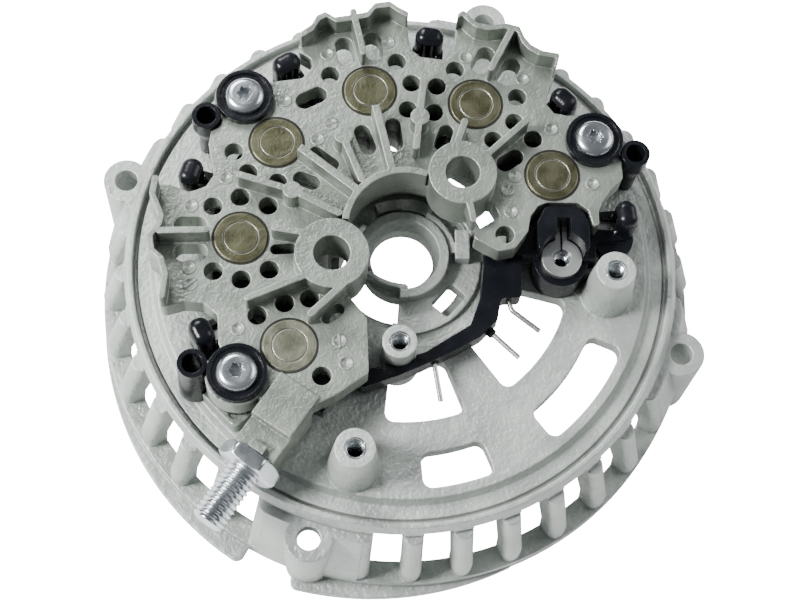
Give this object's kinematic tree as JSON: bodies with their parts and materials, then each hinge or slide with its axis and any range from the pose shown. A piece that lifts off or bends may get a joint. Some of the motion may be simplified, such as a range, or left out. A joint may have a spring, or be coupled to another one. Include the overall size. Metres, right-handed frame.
{
  "type": "alternator rear bracket with rectifier",
  "caption": "Cast rear bracket of a vehicle alternator carrying a C-shaped rectifier with press-fit diodes, stator lead clips and an output stud.",
  "frame": {"origin": "centre of the through-bolt circle on the plane of the open front rim, on the rotor axis", "axes": "+Z along the rotor axis, from the open front rim towards the rectifier; seen from the rear, +X is right and +Y up"},
  "size_m": [0.1456, 0.1484, 0.05],
  "materials": {
    "cast_aluminium": "as cast, lightly blasted, with machined faces",
    "black_moulding": "satin",
    "diode_plating": "dull plated, with a bright rim",
    "zinc_steel": "bright zinc",
    "tinned_wire": "tinned, satin"
  },
  "bodies": {
    "root": {"fixing_screws": "zinc_steel", "insulating_bush_1": "black_moulding", "insulating_bush_2": "black_moulding", "insulating_bush_3": "black_moulding", "negative_diode_1": "diode_plating", "negative_diode_2": "diode_plating", "negative_diode_3": "diode_plating", "negative_diode_4": "diode_plating", "negative_diode_5": "diode_plating", "negative_diode_6": "diode_plating", "negative_heat_sink": "cast_aluminium", "output_stud": "zinc_steel", "positive_diode_1": "diode_plating", "positive_diode_2": "diode_plating", "positive_diode_3": "diode_plating", "positive_diode_4": "diode_plating", "positive_diode_5": "diode_plating", "positive_diode_6": "diode_plating", "positive_heat_sink": "cast_aluminium", "rear_bracket": "cast_aluminium", "ring_terminal": "tinned_wire", "signal_pin_1": "tinned_wire", "signal_pin_2": "tinned_wire", "signal_pin_3": "tinned_wire", "stator_terminal_1": "tinned_wire", "stator_terminal_2": "tinned_wire", "stator_terminal_3": "tinned_wire", "stator_terminal_4": "tinned_wire", "stator_terminal_5": "tinned_wire", "stator_terminal_6": "tinned_wire", "terminal_carrier": "black_moulding", "threaded_insert": "zinc_steel"}
  },
  "joints": []
}
